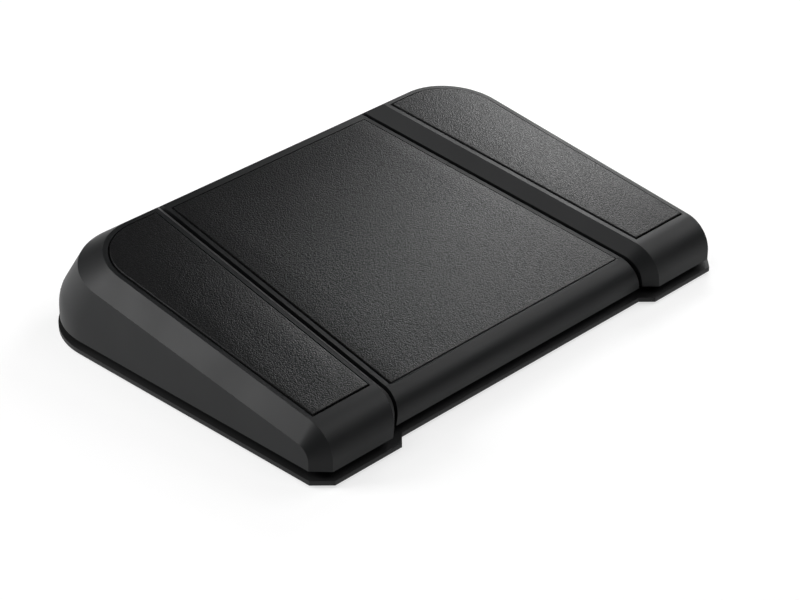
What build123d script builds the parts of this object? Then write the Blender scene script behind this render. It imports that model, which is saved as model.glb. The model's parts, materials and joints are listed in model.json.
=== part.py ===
from build123d import *
import math
import os

# Foot switch with three pedals for a desk. X runs across it, Y from the user to the back, Z up.
# Distances called "from the front" are measured from the front edge of the base plate.
# The origin is in the middle of the floor under the object.

# Overall sizes
width = 240.0
depth = 179.3
foot_stand = 1.2
overrun = 5.0
fit_gap = 0.05
seat_gap = 0.1
small_round = 3.5
large_round = 8.0
few_sides = 12
some_sides = 16
many_sides = 24

# Base plate: steel, with two lobes that stand forward under the outer pedals
plate_thick = 2.0
plate_corner = 37.0
plate_chamfer = 7.0
lobe_step = 5.0
lobe_from_seam = 4.7

# Gap between the plate and the lower edge of the pedals, and the inset of the pedals from the plate's edge
skirt_gap = 3.5
side_inset = 0.8
front_inset = 1.2
back_inset = 0.7

# Heights of the pedal tops where they would meet the front edge, and their slope towards the back
outer_crown = 22.6
centre_step = 5.1
top_slope = 0.1475

# Seam between the pedals: it opens towards the front and leans outwards towards the floor
seam_gap = 1.4
centre_share = 0.6
seam_splay_share = 0.0504
seam_lean_share = 0.2
ridge_from_seam = 6.6
ridge_splay_share = 0.0597
ridge_lean_share = 0.118

# Outer side of an outer pedal: a wide chamfer above a wall that leans in a little
ridge_from_side = 7.1
outer_ridge_splay_share = 0.0145
chamfer_drop = 8.0
wall_lean_share = 0.02
wall_corner = 36.3
chamfer_low_corner = 30.3
top_corner = 27.2

# Back of all pedals: a chamfer and a sloping wall that rounds over into an upright band above the gap
ridge_from_back = 27.55
back_chamfer_run = 9.25
back_chamfer_drop = 6.7
band_slope_share = 0.0532
band_round_share = 0.18

# Noses: rounded over towards the user
outer_nose = 13.8
centre_nose = 10.5
inner_facet_nose = 9.2
outer_facet_nose = 6.5
outer_facet_run = 7.0
nose_zone = 45.0

# Pedal shells and their textured pads
wall = 2.6
mitre_share = 0.42
rim = 2.9
pad_front = 15.0
pad_gap = 0.45
pad_proud = 0.5
pad_recess = 1.2
rib_thick = 1.6
rib_deep = 6.0
seam_skirt_low = 12.5
seam_skirt_from = 18.5

# Hinges: one pin for each pedal, on one line near the back
hinge_from_back = 29.3
hinge_height = 15.0
pedal_travel = 1.15
pin_radius = 2.0
pin_overhang = 2.4
bush_wall = 1.0
lug_thick = 6.0
lug_radius = 5.5
lug_side_gap = 0.5
ear_thick = 2.0
ear_radius = 5.0
bracket_thick = 2.0
bracket_length = 14.0
outer_lug_spacing = 20.0
centre_lug_from_seam = 30.0
clip_radius = 3.2
clip_thick = 0.8

# Tray that carries the mechanism on the plate
tray_front = 22.5
tray_side_gap = 1.4
tray_floor = 2.0
tray_rim = 2.2
tray_wall = 1.8

# Return springs
spring_share = 0.4
spring_radius = 5.0
spring_wire = 1.2
spring_turns = 4
spring_steps = 8
spring_top = 20.0
spring_boss = 7.5
spring_spigot = 3.4
spring_spigot_long = 3.5
spring_collar = 1.2
spring_collar_tall = 2.0

# Stops: rubber pads under the pedals and hooks that hold them down
stop_share = 0.1375
stop_radius = 5.0
stop_tall = 3.0
stop_boss = 4.0
stop_margin = 0.15
hook_from_front = 31.0
hook_wide = 8.0
hook_thick = 2.4
hook_barb = 1.8
hook_barb_tall = 1.6
hook_bottom = 6.2
hook_rest_gap = 0.15
catch_tall = 2.0
catch_thick = 2.4
catch_post = 3.0
catch_side_gap = 1.0

# Circuit board and what is soldered to it
board_low = 8.0
board_thick = 1.6
board_strip = 26.0
board_from_side = 16.0
board_tail_half = 12.0
board_tail_gap = 5.0
board_tongue_half = 4.4
switch_from_hinge = 39.0
switch_long = 12.8
switch_wide = 5.8
switch_tall = 6.5
plunger_radius = 1.3
plunger_out = 1.3
plunger_in = 1.5
actuator_radius = 3.0
chip_side = 7.0
chip_tall = 1.0
chip_from_hinge = 12.0

# USB inlet at the back, in the middle
port_half = 8.9
port_top = 17.1
port_long = 12.6
port_from_back = 1.7
plug_half = 6.5
plug_tall = 7.8
plug_deep = 4.8
plug_corner = 3.0
socket_wide = 8.94
socket_tall = 3.16
socket_long = 7.3
socket_skin = 0.3
tongue_wide = 6.7
tongue_thick = 0.7
tongue_long = 5.0
port_gap = 1.5

# Fasteners and feet
screw_radius = 1.5
head_radius = 2.8
head_tall = 1.8
sunk_head_tall = 1.5
tray_boss = 3.6
tray_boss_tall = 4.5
board_post = 2.8
board_screw_radius = 1.0
board_head_radius = 1.9
board_head_tall = 1.0
foot_radius = 10.0

# Heights and places that follow
front = -depth / 2
plate_low = foot_stand
plate_top = plate_low + plate_thick
pedal_low = plate_top + skirt_gap
floor_top = plate_top + tray_floor
centre_crown = outer_crown - centre_step
centre_front = front_inset + centre_step
seam_half = width / 2 * centre_share
ridge_half = seam_half + ridge_from_seam
outer_ridge = width / 2 - ridge_from_side
lobe_inner = seam_half + lobe_from_seam
back_ridge = depth - ridge_from_back
hinge_from_front = depth - hinge_from_back
switch_from_front = hinge_from_front - switch_from_hinge
stop_from_front = hook_from_front + stop_share * (switch_from_front - hook_from_front)
spring_from_front = hook_from_front + spring_share * (switch_from_front - hook_from_front)
board_front = switch_from_front - board_strip / 2
board_half = width / 2 - board_from_side
chip_from_front = hinge_from_front - chip_from_hinge
port_back = depth - port_from_back
port_front = port_back - port_long
board_tail_end = port_front - board_tail_gap
centre_lug_spacing = (seam_half - centre_lug_from_seam) * 2
pedal_side = width / 2 - side_inset
pedal_back = depth - back_inset
wall_back = back_ridge + back_chamfer_run
slope_angle = math.atan(top_slope)
outer_pedal_middle = (seam_half + pedal_side) / 2 - rim
board_top = board_low + board_thick
travel = math.radians(pedal_travel)
stop_boss_low = floor_top + stop_tall + travel * (hinge_from_front - stop_from_front) + stop_margin
rib_places = [(stop_from_front + spring_from_front) / 2, spring_from_front + spring_boss * 2,
              switch_from_front + spring_boss * 2]


def at(x, from_front, z):
    """A point from its place across, its distance from the front edge and its height."""
    return Vector(x, front + from_front, z)


def seam_x(d, z):
    """Side face of the centre pedal."""
    return seam_half - seam_splay_share * d - seam_lean_share * (z - centre_crown)


def ridge_x(d, z):
    """Upper inner edge of an outer pedal, carried down round its nose."""
    return ridge_half - ridge_splay_share * d - ridge_lean_share * (z - outer_crown)


def outer_ridge_x(d, z):
    """Upper outer edge of an outer pedal."""
    return outer_ridge - outer_ridge_splay_share * d


def wall_x(d, z):
    """Outer wall of an outer pedal."""
    return pedal_side - wall_lean_share * (z - pedal_low)


def top_z(d, crown=outer_crown):
    """Height of a pedal's flat top at a distance from the front."""
    return crown + top_slope * d


def block(x, d, z):
    """A box from its limits across, from the front and in height."""
    size = (x[1] - x[0], d[1] - d[0], z[1] - z[0])
    return Pos(*at((x[0] + x[1]) / 2, (d[0] + d[1]) / 2, (z[0] + z[1]) / 2)) * Box(*size)


def prism(radius, length, hole=False):
    """A round bar with flat sides: a solid one fits inside its radius, and a hole clears its radius."""
    sides = few_sides if radius < small_round else some_sides if radius < large_round else many_sides
    return extrude(RegularPolygon(radius, sides, major_radius=not hole), amount=length / 2, both=True)


def post(x, d, low, high, radius):
    """An upright bar between two heights."""
    return Pos(*at(x, d, (low + high) / 2)) * prism(radius, high - low)


def bore(x, d, low, high, radius):
    """An upright hole for a bar of this radius."""
    return Pos(*at(x, d, (low + high) / 2)) * prism(radius, high - low, hole=True)


def rod(x_low, x_high, radius):
    """A bar along the hinge line."""
    return on_hinge_line(x_low, x_high, prism(radius, x_high - x_low))


def cross_bore(x_low, x_high, radius):
    """A hole along the hinge line for a bar of this radius."""
    return on_hinge_line(x_low, x_high, prism(radius, x_high - x_low, hole=True))


def on_hinge_line(x_low, x_high, bar):
    """Turns an upright bar and puts it on the hinge line between two places across."""
    return Pos(*at((x_low + x_high) / 2, hinge_from_front, hinge_height)) * Rot(Y=90) * bar


def sunk_cone(x, d, gap):
    """The tapered head of a countersunk screw, or the space for it, flush with the plate's underside."""
    taper = math.degrees(math.atan((head_radius - screw_radius) / sunk_head_tall))
    face = RegularPolygon(head_radius + gap, few_sides, major_radius=gap == 0)
    return Pos(*at(x, d, plate_low)) * extrude(face, amount=sunk_head_tall, taper=taper)


def closed(points):
    """A wire through points; a point given as a pair is the middle and the end of an arc."""
    edges = []
    here = points[0]
    for step in points[1:] + points[:1]:
        if isinstance(step, tuple):
            edges.append(Edge.make_three_point_arc(here, step[0], step[1]))
            here = step[1]
        else:
            edges.append(Edge.make_line(here, step))
            here = step
    return Wire(edges)


def outline(points, put):
    """A closed wire from flat points and arcs, each point put in space by a function of its two numbers."""
    placed = []
    for p in points:
        if isinstance(p[0], tuple):
            placed.append(tuple(put(*q) for q in p))
        else:
            placed.append(put(*p))
    return closed(placed)


def nose_points(nose_front, crown, radius, end, low):
    """Side outline of a pedal's front part: upright face, rounded nose and sloping top."""
    corner = top_z(nose_front, crown)
    tangent = radius * math.tan(math.pi / 4 - slope_angle / 2)
    centre = (nose_front + radius, corner - tangent)
    middle_angle = math.radians(135) + slope_angle / 2
    middle = (centre[0] + radius * math.cos(middle_angle), centre[1] + radius * math.sin(middle_angle))
    top = (nose_front + tangent * math.cos(slope_angle), corner + tangent * math.sin(slope_angle))
    return [(nose_front, low), (nose_front, corner - tangent), (middle, top),
            (end, top_z(end, crown)), (end, low)]


def nose_section(x_of, *sizes):
    """The same outline as a wire in the plane that a function of depth and height gives."""
    return outline(nose_points(*sizes), lambda d, z: at(x_of(d, z), d, z))


def level(x_of, height_of, back, corner):
    """Outline of an outer pedal behind its nose, at one level of its outer side."""
    turn = back - corner
    side = x_of(turn, height_of(turn))
    diagonal = corner * math.cos(math.pi / 4)
    inner = seam_half / 2

    def on(x, d):
        return at(x, d, height_of(d))

    middle = on(side - corner + diagonal, turn + diagonal)
    points = [on(inner, nose_zone), on(x_of(nose_zone, height_of(nose_zone)), nose_zone), on(side, turn)]
    return closed(points + [(middle, on(side - corner, back)), on(inner, back)])


def outer_pedal_block(inset, low):
    """Right pedal as a solid block: a lofted nose and a lofted back, cut by the seam and the flank."""
    crown = outer_crown - inset
    mitre = inset * mitre_share
    drop = chamfer_drop - mitre
    inner_drop = centre_step - mitre

    def seam_wall(d, z):
        return seam_x(d, z) + seam_gap + inset

    def inner_edge(d, z):
        return ridge_x(d, z) + mitre

    def outer_edge(d, z):
        return outer_ridge_x(d, z) - mitre

    def outer_wall(d, z):
        return wall_x(d, z) - inset

    nose = Solid.make_loft([
        nose_section(seam_wall, centre_front + mitre, crown - inner_drop, inner_facet_nose - inset,
                     nose_zone, low),
        nose_section(inner_edge, front_inset + inset, crown, outer_nose - inset, nose_zone, low),
        nose_section(outer_edge, front_inset + inset, crown, outer_nose - inset, nose_zone, low),
        nose_section(outer_wall, front_inset + outer_facet_run + mitre, crown - drop,
                     outer_facet_nose - inset, nose_zone, low),
    ], ruled=True)

    def band_high(d):
        return pedal_low + band_slope_share * d

    def chamfer_low(d):
        return top_z(d, crown - drop)

    def bend(share):
        """A level between the band and the chamfer, at a share of the way up."""
        return level(outer_wall, lambda d: band_high(d) * (1 - share) + chamfer_low(d) * share,
                     pedal_back - inset - back_wall_run * share, wall_corner - inset - corner_change * share)

    back_wall_run = pedal_back - wall_back
    corner_change = wall_corner - chamfer_low_corner
    rear = Solid.make_loft([
        level(outer_wall, lambda d: low, pedal_back - inset, wall_corner - inset),
        level(outer_wall, lambda d: band_high(d) - band_round_share * (chamfer_low(d) - band_high(d)),
              pedal_back - inset, wall_corner - inset),
        level(outer_wall, lambda d: band_high(d), pedal_back - inset - back_wall_run * band_round_share / 4,
              wall_corner - inset - corner_change * band_round_share / 4),
        bend(band_round_share),
        bend(1),
        level(outer_edge, lambda d: top_z(d, crown), back_ridge - mitre, top_corner - mitre),
    ], ruled=True)

    def on_seam(d, z):
        return at(seam_wall(d, z), d, z)

    def on_ridge(d):
        return at(inner_edge(d, top_z(d, crown)), d, top_z(d, crown))

    shoulder = top_z(nose_zone, crown - inner_drop)
    seam = three_point_plane(on_seam(nose_zone, pedal_low), on_seam(nose_zone, shoulder),
                             on_seam(depth, pedal_low))
    flank = three_point_plane(on_ridge(nose_zone), on_seam(nose_zone, shoulder), on_ridge(back_ridge))
    rear = keep_side(rear, seam, at(pedal_side - wall, nose_zone + wall, pedal_low + wall))
    rear = keep_side(rear, flank, at(pedal_side - wall, nose_zone + wall, pedal_low + wall))
    return nose + rear


def three_point_plane(a, b, c):
    """The plane through three points."""
    return Plane(origin=a, x_dir=(b - a).normalized(), z_dir=(b - a).cross(c - a).normalized())


def keep_side(solid, plane, inside):
    """The part of a solid on the same side of a plane as a given point."""
    above = (inside - plane.origin).dot(plane.z_dir) > 0
    return split(solid, bisect_by=plane, keep=Keep.TOP if above else Keep.BOTTOM)


def centre_pedal_block(inset, low):
    """Centre pedal as a solid block: a side outline carried across and cut by both seams."""
    crown = centre_crown - inset
    nose = nose_points(centre_front + inset, crown, centre_nose - inset, nose_zone, low)
    ridge_high = top_z(back_ridge) - inset
    chamfer_fall = back_chamfer_drop / back_chamfer_run
    meet = (ridge_high - crown + chamfer_fall * back_ridge) / (top_slope + chamfer_fall)
    wall_top = (wall_back - inset, ridge_high - back_chamfer_drop)
    band_top = (pedal_back - inset, pedal_low + band_slope_share * depth)
    reach = band_round_share * (wall_top[1] - band_top[1])
    shift = band_round_share * (band_top[0] - wall_top[0])
    side_view = nose[:3] + [(meet, top_z(meet, crown)), wall_top, (band_top[0] - shift, band_top[1] + reach),
                            (band_top[0] - shift / 4, band_top[1]), (band_top[0], band_top[1] - reach),
                            (band_top[0], low)]
    face = Face(outline(side_view, lambda d, z: at(0, d, z)))
    body = extrude(face, amount=seam_half * 2, dir=(1, 0, 0), both=True)

    def on_seam(side, d, z):
        return at(side * (seam_x(d, z) - inset), d, z)

    for side in (1, -1):
        plane = three_point_plane(on_seam(side, 0, pedal_low), on_seam(side, 0, outer_crown),
                                  on_seam(side, depth, pedal_low))
        body = keep_side(body, plane, at(0, nose_zone, pedal_low + wall))
    return body


def top_plate(points, crown, low, high):
    """A slab that follows a pedal's sloping top, between two heights over it."""
    normal = Vector(0, -math.sin(slope_angle), math.cos(slope_angle))
    base = Face(outline(points, lambda x, d: at(x, d, top_z(d, crown))))
    return Pos(*(normal * low)) * extrude(base, amount=high - low, dir=normal)


def outer_pad_outline(grow):
    """Outline of the right pad, square in front and round at its outer back corner."""
    inset = rim - grow
    corner = top_corner - inset
    start = pad_front - grow
    back = back_ridge - inset
    turn = back - corner
    diagonal = corner * math.cos(math.pi / 4)

    def inner(d):
        return ridge_x(d, top_z(d)) + inset

    def outer(d):
        return outer_ridge_x(d, top_z(d)) - inset

    side = outer(turn)
    bend = (side - corner + diagonal, turn + diagonal)
    return [(inner(start), start), (outer(start), start), (side, turn), (bend, (side - corner, back)),
            (inner(back), back)]


def centre_pad_outline(grow):
    """Outline of the centre pad, a trapezoid that narrows towards the back."""
    inset = rim - grow
    start = pad_front - grow
    back = back_ridge + rim / 2 + grow

    def side(d):
        return seam_x(d, top_z(d, centre_crown)) - inset

    return [(-side(start), start), (side(start), start), (side(back), back), (-side(back), back)]


def finish_shell(outer, cavity, crown, middle, lug_spacing, pad_outline):
    """Hollows a pedal and adds what is moulded under it: ribs, lugs, bosses, actuator, stop and hook."""
    shell = outer - cavity
    under_ribs = Plane(at(0, 0, crown - wall - rib_deep), x_dir=(1, 0, 0),
                       z_dir=(0, -math.sin(slope_angle), math.cos(slope_angle)))
    top_slab = split(outer, bisect_by=under_ribs, keep=Keep.TOP)
    half = lug_spacing / 2
    ribs = [block((middle + side * half - rib_thick / 2, middle + side * half + rib_thick / 2),
                  (front_inset, depth), (pedal_low, top_z(depth))) for side in (-1, 1)]
    for d in rib_places:
        ribs.append(block((middle - width, middle + width), (d - rib_thick / 2, d + rib_thick / 2),
                          (pedal_low, top_z(depth))))
    for rib in ribs:
        shell = shell + (rib & top_slab)
    high = top_z(depth)
    for side in (-1, 1):
        x = middle + side * half
        lug = block((x - lug_thick / 2, x + lug_thick / 2),
                    (hinge_from_front - lug_radius, hinge_from_front + lug_radius), (hinge_height, high))
        lug = lug + rod(x - lug_thick / 2, x + lug_thick / 2, lug_radius)
        shell = shell + (lug & outer)
        shell = shell - cross_bore(x - lug_thick, x + lug_thick, pin_radius + fit_gap + bush_wall)
    boss = post(middle, spring_from_front, spring_top, high, spring_boss)
    spigot = post(middle, spring_from_front, spring_top - spring_spigot_long, high, spring_spigot)
    actuator_low = board_top + switch_tall + plunger_out + seat_gap
    actuator = post(middle, switch_from_front, actuator_low, high, actuator_radius)
    stop = post(middle, stop_from_front, stop_boss_low, high, stop_boss)
    for moulded in (boss, spigot, actuator, stop):
        shell = shell + (moulded & outer)
    across = (middle - hook_wide / 2, middle + hook_wide / 2)
    leg_deep = (hook_from_front, hook_from_front + hook_thick)
    leg = block(across, leg_deep, (pedal_low, high)) & outer
    foot = block(across, leg_deep, (hook_bottom, pedal_low))
    barb = block(across, (hook_from_front - hook_barb, hook_from_front),
                 (hook_bottom, hook_bottom + hook_barb_tall))
    shell = shell + (leg + foot + barb)
    return shell - top_plate(pad_outline, crown, -pad_recess, overrun)


def seam_relief():
    """Space that shortens the hidden seam walls on the right so that they clear the tray and the board."""
    across = (seam_half - spring_boss * 2, seam_half + seam_gap + wall * 2)
    return block(across, (seam_skirt_from, pedal_back - wall), (pedal_low - overrun, seam_skirt_low))


def build_outer_pedal():
    """Right pedal shell."""
    outer = outer_pedal_block(0, pedal_low)
    cavity = outer_pedal_block(wall, pedal_low - overrun)
    shell = finish_shell(outer, cavity, outer_crown, outer_pedal_middle, outer_lug_spacing,
                         outer_pad_outline(pad_gap))
    return shell - seam_relief()


def build_centre_pedal():
    """Centre pedal shell, with a notch in its back wall for the USB inlet."""
    outer = centre_pedal_block(0, pedal_low)
    cavity = centre_pedal_block(wall, pedal_low - overrun)
    shell = finish_shell(outer, cavity, centre_crown, 0, centre_lug_spacing, centre_pad_outline(pad_gap))
    notch = block((-port_half - port_gap, port_half + port_gap), (port_front, depth + overrun),
                  (pedal_low - overrun, port_top + port_gap))
    relief = seam_relief()
    return shell - relief - mirror(relief, about=Plane.YZ) - notch


def base_outline(inset):
    """Outline of the base plate."""
    half = width / 2 - inset
    start = inset
    corner = plate_corner - inset
    back = depth - inset
    diagonal = corner * math.cos(math.pi / 4)
    right = [(lobe_inner - lobe_step, start + lobe_step), (lobe_inner, start), (half - plate_chamfer, start),
             (half, start + plate_chamfer), (half, back - corner),
             ((half - corner + diagonal, back - corner + diagonal), (half - corner, back))]
    left = [(-half + corner, back),
            ((-half + corner - diagonal, back - corner + diagonal), (-half, back - corner)),
            (-half, start + plate_chamfer), (-half + plate_chamfer, start), (-lobe_inner, start),
            (-lobe_inner + lobe_step, start + lobe_step)]
    return right + left


def flat(points, low, high):
    """A flat piece from an outline seen from above."""
    return extrude(Face(outline(points, lambda x, d: at(x, d, low))), amount=high - low, dir=(0, 0, 1))


def tray_outline(inset):
    """Outline of the tray: straight in front, round at the back corners."""
    half = pedal_side - wall - tray_side_gap - inset
    back = pedal_back - wall - tray_side_gap - inset
    corner = wall_corner - wall - tray_side_gap - inset
    diagonal = corner * math.cos(math.pi / 4)
    return [(-half, tray_front + inset), (half, tray_front + inset), (half, back - corner),
            ((half - corner + diagonal, back - corner + diagonal), (half - corner, back)),
            (-half + corner, back),
            ((-half + corner - diagonal, back - corner + diagonal), (-half, back - corner))]


pedal_middles = {"left": -outer_pedal_middle, "centre": 0.0, "right": outer_pedal_middle}
lug_spacings = {"left": outer_lug_spacing, "centre": centre_lug_spacing, "right": outer_lug_spacing}
plate_screw_places = [(x, d)
                      for x in (-board_half, -centre_lug_spacing / 2, centre_lug_spacing / 2, board_half)
                      for d in (tray_front + tray_boss * 4, board_front - tray_boss * 2)]
board_screw_places = [(side * x, board_front + board_strip / 2)
                      for side in (-1, 1) for x in (centre_lug_spacing / 2, seam_half + board_post * 2)]
foot_places = [(x, d) for x in (-board_half + foot_radius, 0, board_half - foot_radius)
               for d in (tray_front, hinge_from_front)]


def bracket_reach(name):
    """Half the distance between the outer faces of a bracket's ears."""
    return lug_spacings[name] / 2 + lug_thick / 2 + lug_side_gap + ear_thick


def bracket_screw_places(name):
    """Places of the two screws that hold a hinge bracket."""
    reach = bracket_reach(name) - ear_thick - head_radius * 2
    return [(pedal_middles[name] + side * reach, hinge_from_front) for side in (-1, 1)]


def build_bracket(name):
    """Hinge bracket: a steel strip folded up into two ears."""
    middle = pedal_middles[name]
    reach = bracket_reach(name)
    span = (hinge_from_front - bracket_length / 2, hinge_from_front + bracket_length / 2)
    bracket = block((middle - reach, middle + reach), span, (floor_top, floor_top + bracket_thick))
    for side in (-1, 1):
        inner = middle + side * (reach - ear_thick)
        outer = middle + side * reach
        limits = (min(inner, outer), max(inner, outer))
        bracket += block(limits, (hinge_from_front - ear_radius, hinge_from_front + ear_radius),
                         (floor_top, hinge_height))
        bracket += rod(*limits, ear_radius)
    bracket -= cross_bore(middle - reach - overrun, middle + reach + overrun, pin_radius + fit_gap)
    for x, d in bracket_screw_places(name):
        bracket -= bore(x, d, floor_top - overrun, floor_top + overrun, screw_radius + fit_gap)
    return bracket


def build_pin(name):
    """Hinge pin, a plain ground cylinder that stands out of both ears."""
    middle = pedal_middles[name]
    reach = bracket_reach(name) + pin_overhang
    return on_hinge_line(middle - reach, middle + reach, Cylinder(pin_radius, reach * 2))


def build_clips(name):
    """Two rings pushed onto the pin's ends, outside the ears."""
    clips = []
    for side in (-1, 1):
        x = pedal_middles[name] + side * (bracket_reach(name) + clip_thick / 2 + seat_gap)
        ring = rod(x - clip_thick / 2, x + clip_thick / 2, clip_radius)
        clips.append(ring - cross_bore(x - clip_thick, x + clip_thick, pin_radius + fit_gap / 2))
    return clips


def build_bushes(name):
    """Two plain bearings pressed into the pedal's lugs."""
    bushes = []
    for side in (-1, 1):
        x = pedal_middles[name] + side * lug_spacings[name] / 2
        ends = (x - lug_thick / 2, x + lug_thick / 2)
        bush = cross_bore(*ends, pin_radius + fit_gap + bush_wall)
        bushes.append(bush - cross_bore(*ends, pin_radius + fit_gap))
    return bushes


def screw(x, d, seat, shank_low, shank, head, head_high):
    """A pan-head screw that points down, with a cross slot left off."""
    return post(x, d, shank_low, seat, shank) + post(x, d, seat, seat + head_high, head)


def sunk_screw(x, d):
    """A countersunk screw driven up through the plate into a tray boss."""
    return sunk_cone(x, d, 0) + post(x, d, plate_low, floor_top + tray_boss_tall / 2, screw_radius)


def build_base_plate():
    """Steel base plate with countersunk holes and holes for the bracket screws."""
    plate = flat(base_outline(0), plate_low, plate_top)
    for x, d in plate_screw_places:
        plate -= bore(x, d, plate_low - overrun, plate_top + overrun, screw_radius + fit_gap)
        plate -= sunk_cone(x, d, fit_gap)
    for name in pedal_middles:
        for x, d in bracket_screw_places(name):
            plate -= bore(x, d, plate_low - overrun, plate_top + overrun, screw_radius + fit_gap)
    return plate


def build_tray():
    """Moulded tray: floor, rim, bosses, board posts, spring collars and the catches for the hooks."""
    tray = flat(tray_outline(0), plate_top, floor_top + tray_rim)
    tray -= flat(tray_outline(tray_wall), floor_top, floor_top + overrun)
    for x, d in plate_screw_places:
        tray += post(x, d, plate_top, floor_top + tray_boss_tall, tray_boss)
        hole_top = floor_top + tray_boss_tall / 2 + seat_gap
        tray -= bore(x, d, plate_top - overrun, hole_top, screw_radius + fit_gap)
    for x, d in board_screw_places:
        tray += post(x, d, plate_top, board_low, board_post)
        tray -= bore(x, d, floor_top, board_low + overrun, board_screw_radius + fit_gap)
    for name, middle in pedal_middles.items():
        for x, d in bracket_screw_places(name):
            tray -= bore(x, d, plate_top - overrun, floor_top + overrun, screw_radius + fit_gap)
        collar = post(middle, spring_from_front, floor_top, floor_top + spring_collar_tall,
                      spring_radius + spring_wire + spring_collar)
        collar -= bore(middle, spring_from_front, floor_top, floor_top + overrun, spring_radius + spring_wire)
        spigot_high = floor_top + spring_collar_tall
        tray += collar + post(middle, spring_from_front, floor_top, spigot_high, spring_spigot)
        tray = add_catch(tray, middle)
    port = block((-port_half - fit_gap, port_half + fit_gap), (port_front, depth),
                 (floor_top, floor_top + overrun))
    return tray - port


def add_catch(tray, middle):
    """Adds the bridge that a pedal's hook pulls up against, and the window under the hook."""
    half = hook_wide / 2 + catch_side_gap
    bar_low = hook_bottom + hook_barb_tall + hook_rest_gap
    bar = (hook_from_front - seat_gap * 3 - catch_thick, hook_from_front - seat_gap * 3)
    bridge = block((middle - half - catch_post, middle + half + catch_post), bar,
                   (floor_top, bar_low + catch_tall))
    bridge -= block((middle - half, middle + half), (bar[0] - overrun, bar[1] + overrun),
                    (floor_top, bar_low))
    window = block((middle - half, middle + half), (bar[0], hook_from_front + hook_thick + catch_side_gap),
                   (plate_top - overrun, floor_top))
    return tray + bridge - window


def build_board():
    """T-shaped circuit board: a strip under the three switches and a tail to the USB inlet."""
    strip = block((-board_half, board_half), (board_front, board_front + board_strip), (board_low, board_top))
    tail = block((-board_tail_half, board_tail_half), (board_front, board_tail_end), (board_low, board_top))
    tongue = block((-board_tongue_half, board_tongue_half), (board_front, port_back - plug_deep),
                   (board_low, board_top))
    board = strip + tail + tongue
    for x, d in board_screw_places:
        board -= bore(x, d, board_low - overrun, board_top + overrun, board_screw_radius + fit_gap)
    return board


def build_switch(middle):
    """Snap-action switch body with the well that its plunger slides in."""
    body = block((middle - switch_long / 2, middle + switch_long / 2),
                 (switch_from_front - switch_wide / 2, switch_from_front + switch_wide / 2),
                 (board_top, board_top + switch_tall))
    top = board_top + switch_tall
    low = top - plunger_in - plunger_out - seat_gap
    return body - bore(middle, switch_from_front, low, top + overrun, plunger_radius + fit_gap)


def build_plunger(middle):
    """Plunger of a switch, standing out of its body."""
    top = board_top + switch_tall
    return post(middle, switch_from_front, top - plunger_in, top + plunger_out, plunger_radius)


def build_spring(middle):
    """Compression spring: one unbroken wire, lofted through square sections that climb round the spring."""
    low = floor_top + spring_wire / 2
    climb = spring_top - spring_wire / 2 - low
    steps = spring_turns * spring_steps
    half = spring_wire / 2
    sections = []
    for n in range(steps + 1):
        angle = n * 2 * math.pi / spring_steps
        height = low + climb * n / steps
        corners = [(spring_radius - half, height - half), (spring_radius + half, height - half),
                   (spring_radius + half, height + half), (spring_radius - half, height + half)]
        sections.append(closed([at(middle + r * math.cos(angle), spring_from_front + r * math.sin(angle), z)
                                for r, z in corners]))
    print("spring gap between turns", round(climb / spring_turns - spring_wire, 2), "mm")
    return Solid.make_loft(sections, ruled=True)


def rounded_bar(half_wide, centre_z, half_tall, corner, d):
    """A bar with rounded corners that runs from front to back, as the shape of a plug or a socket."""
    face = RectangleRounded(half_wide * 2, half_tall * 2, corner)
    bar = Plane(origin=at(0, d[0], centre_z), x_dir=(1, 0, 0), z_dir=(0, 1, 0)) * face
    return extrude(bar, amount=d[1] - d[0], dir=(0, 1, 0))


def build_port():
    """The inlet's surround, its metal socket and the tongue with the contacts."""
    mouth = port_back - plug_deep
    middle = board_top + socket_tall / 2
    surround = block((-port_half, port_half), (port_front, port_back), (floor_top, port_top))
    surround -= rounded_bar(plug_half, middle, plug_tall / 2, plug_corner, (mouth, port_back + overrun))
    pocket_half = board_tongue_half + port_gap / 2
    surround -= block((-pocket_half, pocket_half), (port_front - overrun, mouth + fit_gap),
                      (board_low - seat_gap, board_top + socket_tall + seat_gap))
    shell_low = mouth - socket_long
    socket = rounded_bar(socket_wide / 2, middle, socket_tall / 2, socket_tall / 2 - socket_skin,
                         (shell_low, mouth))
    hollow = rounded_bar(socket_wide / 2 - socket_skin, middle, socket_tall / 2 - socket_skin,
                         socket_tall / 2 - socket_skin * 2, (shell_low + socket_skin, mouth + overrun))
    tongue = rounded_bar(tongue_wide / 2, middle, tongue_thick / 2, tongue_thick / 4,
                         (shell_low + socket_skin, shell_low + socket_skin + tongue_long))
    return surround, socket - hollow, tongue


def build_board_parts():
    """Small parts soldered round the controller: a crystal, a regulator and a row of capacitors."""
    parts = []
    cell = chip_side / 2
    spots = [(-chip_side, cell / 2, cell), (chip_side, cell / 2, cell / 2)]
    for x, half, deep in spots:
        parts.append(block((x - half, x + half), (chip_from_front - deep / 2, chip_from_front + deep / 2),
                           (board_top, board_top + chip_tall)))
    for n in range(4):
        x = (n - 1.5) * cell
        d = chip_from_front - chip_side
        parts.append(block((x - cell / 4, x + cell / 4), (d - cell / 8, d + cell / 8),
                           (board_top, board_top + chip_tall / 2)))
    return parts


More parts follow.
